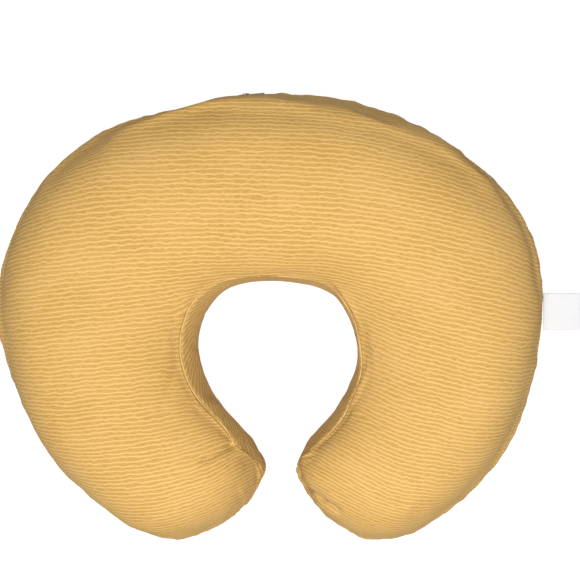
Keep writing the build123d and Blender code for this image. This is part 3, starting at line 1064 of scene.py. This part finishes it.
def soft_block(size, crown_share=0.72):
    """A block from -1 to 1 with rounded edges, as points and faces."""
    points = []
    levels = ((-1, crown_share), (-0.8, 1), (0.8, 1), (1, crown_share))
    turns = [radians(a) for a in (20, 70, 110, 160, 200, 250, 290, 340)]
    for z, wide in levels:
        for turn in turns:
            x = np.sign(cos(turn)) * abs(cos(turn)) ** 0.35
            y = np.sign(sin(turn)) * abs(sin(turn)) ** 0.35
            points.append((x * wide, y * wide, z))
    return np.array(points) * np.array(size) / 2, tube_faces(len(levels), len(turns))


def zipper_blocks(name, blocks):
    """Rounded blocks on the zipper: (place, out, height, (depth, width, tall))."""
    parts = []
    for place, out, height, size in blocks:
        spot, onward, away = zip_frame(place, out, height)
        parts.append((spot, np.array([away, onward, (0, 0, 1)]), soft_block(size)))
    return assembled(name, parts)


TOOTH, TOOTH_PITCH, TEETH_START, STOP_LENGTH = (1.2, 1.25, 3.5), 2.8, 7.2, 2.5


def teeth_row(name, side):
    """Teeth with a stem clamped on the cord and a wider head that meets the other row."""
    count = int((CHAIN_LENGTH - STOP_LENGTH - TOOTH[1] - TEETH_START) / TOOTH_PITCH)
    first = TEETH_START + (0 if side > 0 else TOOTH_PITCH / 2)
    middle = TAPE_EDGE_Z - TOOTH[2] / 2
    blocks = []
    for k in range(count):
        place = first + k * TOOTH_PITCH
        blocks.append((place, TOOTH_OUT, side * (middle + 0.5), (1.2, 1.05, 2.5)))
        blocks.append((place, TOOTH_OUT, side * (middle - 1.1), (0.9, 1.25, 1.3)))
    return zipper_blocks(name, blocks)


def moulded(name, color, rough=0.42):
    """Moulded or enamelled hard finish: slight orange peel and worn, paler high spots."""
    g = Graph(name)
    place = g.place()
    peel, wear = g.noise(place, 1.8, 3.0), g.noise(place, 0.35, 5.0)
    worn = tuple(min(1, c * 1.35 + 0.02) for c in color[:3]) + (1.0,)
    shade = g.mix(g.step(wear, 0.5, 0.75), color, worn)
    g.bump(peel, 0.00005)
    return g.finish(
        shade, g.math("MULTIPLY_ADD", wear, 0.2, rough - 0.1), Specular_IOR_Level=0.5
    )


teeth_plastic = moulded("teeth_plastic", srgb(206, 164, 92))
enamel = moulded("olive_enamel", srgb(92, 84, 48), 0.34)
tape_weave = plain_weave("tape_weave", srgb(208, 166, 96), 0.5, 0.75, Sheen_Weight=0.2)

ZIP_SIDES = ((1, "top", "upper"), (-1, "bottom", "lower"))
for side, source, name in ZIP_SIDES:
    finish_piece(
        zipper_tape(f"woven_tape_{name}", side, cover[source]),
        tape_weave, f"zipper_tape_{name}",
    )
    finish_piece(
        teeth_row(f"moulded_teeth_{name}", side),
        teeth_plastic, f"zipper_teeth_{name}",
    )
STOP_Z = (TAPE_EDGE_Z + 0.6) / 2
finish_piece(
    zipper_blocks(
        "moulded_top_stops",
        [(1, TOOTH_OUT, side * STOP_Z, (1.2, 2.0, TAPE_EDGE_Z - 0.6)) for side in (1, -1)],
    ),
    teeth_plastic, "zipper_top_stops",
)
finish_piece(
    zipper_blocks(
        "moulded_bottom_stop",
        [(CHAIN_LENGTH - STOP_LENGTH / 2, TOOTH_OUT, 0, (1.4, STOP_LENGTH, 2 * TAPE_EDGE_Z))],
    ),
    teeth_plastic, "zipper_bottom_stop",
)
for node in ("zipper_slider", "zipper_pull_tab"):
    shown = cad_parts[node]
    shown.data.materials.clear()
    shown.data.materials.append(enamel)

STITCH_Z, STITCH_PITCH, STITCH_LENGTH, STITCH_R = 8, 3.2, 2.5, 0.28
for side, source, name in ZIP_SIDES:
    tree = surface_tree(cover[source])
    places, tangents, normals = [], [], []
    for k in range(int(CHAIN_LENGTH / STITCH_PITCH)):
        spot, onward, away = zip_frame(STITCH_PITCH * (k + 0.5), RAY_FROM, side * STITCH_Z)
        hit = tree.ray_cast(Vector(spot), Vector(-away))[0]
        if hit is not None:
            places.append(np.array(hit))
            tangents.append(onward)
            normals.append(away)
    row = stitches(f"yarn_tape_{name}", places, tangents, normals, STITCH_LENGTH, STITCH_R)
    finish_piece(row, cover_yarn, f"tape_stitching_{name}")


# Labels: a folded satin tab in the side seam, and a care label on the casing
LABEL_LENGTH, LABEL_WIDTH, LABEL_X, LABEL_Y = 33, 35, 259.6, 37
PLY_GAP, LABEL_ROOT, PLY_CELLS = 0.28, 1.2, 22


def satin(name, color):
    """Smooth ribbon: fine ribs across it and a soft gloss."""
    g = Graph(name)
    place = g.place()
    x, y, _ = g.split(place)
    rib = g.math("SINE", g.times(y, 2 * pi / 0.45))
    wave = g.noise(place, 0.08, 2.0)
    shade = g.mix(wave, darker(color, 0.95), color)
    edge = g.step(g.math("ABSOLUTE", g.minus(y, LABEL_Y)), 15.2, 16.4)
    shade = g.mix(g.times(edge, 0.25), shade, darker(color, 0.92))
    g.bump(rib, 0.00004)
    return g.finish(shade, 0.38, Sheen_Weight=0.3, Specular_IOR_Level=0.4)


def ribbon(name, points, faces, thickness):
    obj = add_mesh(name, points, faces)
    ply = obj.modifiers.new("ply", "SOLIDIFY")
    ply.thickness, ply.offset = thickness * MM, 0
    return apply_modifiers(obj)


def folded_label(name):
    """A ribbon doubled over: out on the lower ply, round the fold, and back on the upper."""
    fold_at = LABEL_LENGTH - PLY_GAP
    outs = np.linspace(-LABEL_ROOT, fold_at, PLY_CELLS)
    turns = np.linspace(-pi / 2, pi / 2, 7)[1:-1]
    line = [(out, -PLY_GAP) for out in outs]
    line += [(fold_at + PLY_GAP * cos(turn), PLY_GAP * sin(turn)) for turn in turns]
    line += [(out, PLY_GAP) for out in outs[::-1]]
    across = np.linspace(-0.5, 0.5, 25)
    points, faces = [], []
    for out, level in line:
        free = max(0, out / LABEL_LENGTH)
        for share in across:
            corner = 0.5 * max(0, abs(share) * 2 - 0.85) * free
            curl = 0.9 * free**2 * (share * 2) ** 2 + 0.5 * free * sin(2.2 * share + 0.6)
            y, z = LABEL_Y + share * LABEL_WIDTH, SEAM_Z + level + curl - 0.5
            points.append((LABEL_X + out - corner, y, z))
    n = len(across)
    for k in range(len(line) - 1):
        for j in range(n - 1):
            a = k * n + j
            faces.append((a, a + n, a + n + 1, a + 1))
    return ribbon(name, points, faces, 0.22)


label_satin = satin("white_satin", srgb(198, 198, 199))
label = folded_label("satin_label")
finish_piece(label, label_satin, "side_label", LABEL)
label_tree = surface_tree(label)
LABEL_STITCH_IN, LABEL_STITCH_PITCH = 3, 3.4
rows = int(LABEL_WIDTH / LABEL_STITCH_PITCH)
places = []
for k in range(rows):
    y = LABEL_Y + (k - (rows - 1) / 2) * LABEL_STITCH_PITCH
    hit = label_tree.ray_cast(Vector((LABEL_X + LABEL_STITCH_IN, y, 100)), Vector((0, 0, -1)))[0]
    places.append(np.array(hit))
tangents, normals = [np.array([0, 1, 0.01])] * rows, [np.array([0, 0, 1.0])] * rows
label_row = stitches("yarn_label", places, tangents, normals, 2.3, 0.15)
grey_thread = twisted_thread("grey_thread", srgb(205, 205, 203))
finish_piece(label_row, grey_thread, "side_label_stitching", LABEL)

CARE_WIDTH, CARE_HEIGHT, CARE_Y, CARE_Z = 60, 34, 50, 98


def care_label(name):
    """A blank ribbon that lies on the casing's left side."""
    casing = bpy.data.objects["muslin_casing_top_panel"]
    tree = surface_tree(casing)
    points, faces, columns = [], [], 25
    for z in np.linspace(-0.5, 0.5, 15):
        for y in np.linspace(-0.5, 0.5, columns):
            start = Vector((-BACK_R, CARE_Y + y * CARE_WIDTH, CARE_Z + z * CARE_HEIGHT))
            hit = tree.ray_cast(start, Vector((1, 0, 0)))[0]
            points.append(np.array(hit) - (0.5, 0, 0))
    for k in range(14):
        for j in range(columns - 1):
            a = k * columns + j
            faces.append((a, a + 1, a + columns + 1, a + columns))
    return ribbon(name, points, faces, 0.2)


care_satin = satin("care_satin", srgb(244, 244, 242))
finish_piece(care_label("satin_care_label"), care_satin, "care_label")


FLOOR = 6000


def stage():
    """Pale floor, soft lights overhead and a dim world."""
    corners = [(-FLOOR, -FLOOR, 0), (FLOOR, -FLOOR, 0), (FLOOR, FLOOR, 0), (-FLOOR, FLOOR, 0)]
    floor = add_mesh("floor", corners, [(0, 1, 2, 3)])
    g = Graph("pale_floor")
    floor.data.materials.append(
        g.finish((0.15, 0.15, 0.15, 1), 0.9, Emission_Color=(1, 1, 1, 1), Emission_Strength=0.92)
    )
    bpy.context.scene.view_settings.view_transform = "Standard"
    world = bpy.data.worlds.new("studio")
    world.use_nodes = True
    background = world.node_tree.nodes["Background"].inputs
    background["Color"].default_value, background["Strength"].default_value = (1, 1, 1, 1), 0.1
    bpy.context.scene.world = world
    for name, spot, aim, size, power in (
        ("key", (0.15, -0.45, 1.7), (0, 0, 0.05), 1.2, 42),
        ("top", (-0.05, 0.2, 2.2), (0, 0, 0.05), 1.2, 24),
    ):
        data = bpy.data.lights.new(name, "AREA")
        data.size, data.energy = size, power
        lamp = bpy.data.objects.new(name, data)
        lamp.location = spot
        lamp.rotation_euler = (Vector(aim) - Vector(spot)).to_track_quat("-Z", "Y").to_euler()
        bpy.context.scene.collection.objects.link(lamp)


def photo_camera():
    """Overhead view, from a little to the right, that just holds the pillow."""
    distance, width, tilt = 1.5, 0.5545, radians(6)
    target = Vector((0.0190, 0.0574, SEAM_Z * MM))
    data = bpy.data.cameras.new("camera")
    data.lens = data.sensor_width * distance / width
    camera = bpy.data.objects.new("camera", data)
    camera.location = target + distance * Vector((sin(tilt), 0, cos(tilt)))
    camera.rotation_euler = (0, tilt, 0)
    bpy.context.scene.collection.objects.link(camera)
    bpy.context.scene.camera = camera


stage()
photo_camera()
